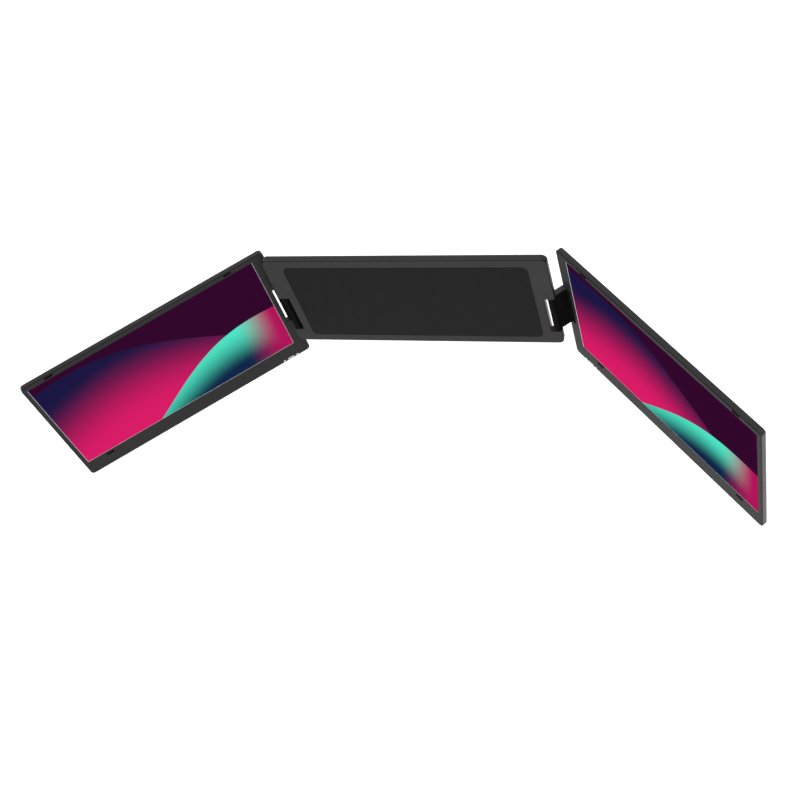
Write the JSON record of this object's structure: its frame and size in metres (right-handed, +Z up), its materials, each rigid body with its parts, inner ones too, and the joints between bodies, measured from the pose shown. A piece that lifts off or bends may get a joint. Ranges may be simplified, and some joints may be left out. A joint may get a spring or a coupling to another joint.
{
  "type": "laptop screen extender",
  "caption": "Folding portable displays on double-pivot arms, carried by a flat frame that sits behind a laptop's lid, with a fold-out stand on its back.",
  "frame": {"origin": "centre of the lid pad's front face, where the laptop's lid rests", "axes": "+X along the frame to the user's right, +Y away from the user, out of the frame's back, +Z up"},
  "size_m": [0.8647, 0.2407, 0.2137],
  "materials": {
    "frame_black": "fine moulded grain, satin",
    "pad_rubber": "soft matt silicone",
    "magnet_nickel": "nickel plated",
    "screw_black": "black oxide",
    "bracket_steel": "stamped sheet",
    "pin_steel": "ground",
    "stand_black": "powder coat, satin",
    "arm_black": "powder coat, satin",
    "bush_brass": "turned",
    "screen_black": "fine moulded grain, satin",
    "picture": "clear cover over a lit picture",
    "gasket_pale": "matt foam",
    "lcd_metal": "folded sheet",
    "board_green": "solder mask",
    "port_steel": "drawn sheet",
    "bumper_rubber": "matt",
    "button_grey": "fine grain, satin"
  },
  "bodies": {
    "frame": {"frame_front": "frame_black", "frame_rear": "frame_black", "lid_pad": "pad_rubber", "lid_magnets": "magnet_nickel", "frame_screws": "screw_black", "left_frame_bracket": "bracket_steel", "right_frame_bracket": "bracket_steel", "left_frame_pin": "pin_steel", "right_frame_pin": "pin_steel", "kickstand_pin": "pin_steel"},
    "stand": {"kickstand": "stand_black", "kickstand_foot": "pad_rubber"},
    "left_link": {"left_arm": "arm_black", "left_arm_bushes": "bush_brass"},
    "left_screen": {"left_screen_housing": "screen_black", "left_screen_bezel": "screen_black", "left_screen_glass": "picture", "left_gasket": "gasket_pale", "left_lcd_module": "lcd_metal", "left_driver_board": "board_green", "left_usb_ports": "port_steel", "left_hdmi_port": "port_steel", "left_screen_bracket": "bracket_steel", "left_screen_pin": "pin_steel", "left_corner_pads": "bumper_rubber", "left_screen_screws": "screw_black", "left_button_board": "board_green"},
    "left_power_key": {"left_power_button": "button_grey"},
    "left_menu_key": {"left_menu_button": "button_grey"},
    "left_input_key": {"left_input_button": "button_grey"},
    "right_link": {"right_arm": "arm_black", "right_arm_bushes": "bush_brass"},
    "right_screen": {"right_screen_housing": "screen_black", "right_screen_bezel": "screen_black", "right_screen_glass": "picture", "right_gasket": "gasket_pale", "right_lcd_module": "lcd_metal", "right_driver_board": "board_green", "right_usb_ports": "port_steel", "right_hdmi_port": "port_steel", "right_screen_bracket": "bracket_steel", "right_screen_pin": "pin_steel", "right_corner_pads": "bumper_rubber", "right_screen_screws": "screw_black", "right_button_board": "board_green"},
    "right_power_key": {"right_power_button": "button_grey"},
    "right_menu_key": {"right_menu_button": "button_grey"},
    "right_input_key": {"right_input_button": "button_grey"}
  },
  "joints": [
    {"name": "stand_fold", "type": "hinge", "parent": "frame", "child": "stand", "pos_m": [0, 0.0076, 0.028], "axis": [1, 0, 0], "range_deg": [0, 80]},
    {"name": "left_arm_swing", "type": "hinge", "parent": "frame", "child": "left_link", "pos_m": [-0.1688, 0.00525, -0.0262], "axis": [0, 0, 1], "range_deg": [-45.2, 139.8]},
    {"name": "left_screen_turn", "type": "hinge", "parent": "left_link", "child": "left_screen", "pos_m": [-0.18327, 0.01963, -0.0262], "axis": [0, 0, -1], "range_deg": [-49.1, 82.9]},
    {"name": "left_power_press", "type": "slide", "parent": "left_screen", "child": "left_power_key", "axis": [-0.617, 0.7869, 0], "range_m": [0, 0.0004], "stiffness_N_per_m": 1500, "springref_m": -0.0005},
    {"name": "left_menu_press", "type": "slide", "parent": "left_screen", "child": "left_menu_key", "axis": [-0.617, 0.7869, 0], "range_m": [0, 0.0004], "stiffness_N_per_m": 1500, "springref_m": -0.0005},
    {"name": "left_input_press", "type": "slide", "parent": "left_screen", "child": "left_input_key", "axis": [-0.617, 0.7869, 0], "range_m": [0, 0.0004], "stiffness_N_per_m": 1500, "springref_m": -0.0005},
    {"name": "right_arm_swing", "type": "hinge", "parent": "frame", "child": "right_link", "pos_m": [0.1688, 0.00525, -0.0262], "axis": [0, 0, -1], "range_deg": [-49.9, 135.1]},
    {"name": "right_screen_turn", "type": "hinge", "parent": "right_link", "child": "right_screen", "pos_m": [0.18708, 0.02065, -0.0262], "axis": [0, 0, 1], "range_deg": [-46.7, 85.3]},
    {"name": "right_power_press", "type": "slide", "parent": "right_screen", "child": "right_power_key", "axis": [0.7096, 0.7046, 0], "range_m": [0, 0.0004], "stiffness_N_per_m": 1500, "springref_m": -0.0005},
    {"name": "right_menu_press", "type": "slide", "parent": "right_screen", "child": "right_menu_key", "axis": [0.7096, 0.7046, 0], "range_m": [0, 0.0004], "stiffness_N_per_m": 1500, "springref_m": -0.0005},
    {"name": "right_input_press", "type": "slide", "parent": "right_screen", "child": "right_input_key", "axis": [0.7096, 0.7046, 0], "range_m": [0, 0.0004], "stiffness_N_per_m": 1500, "springref_m": -0.0005}
  ]
}
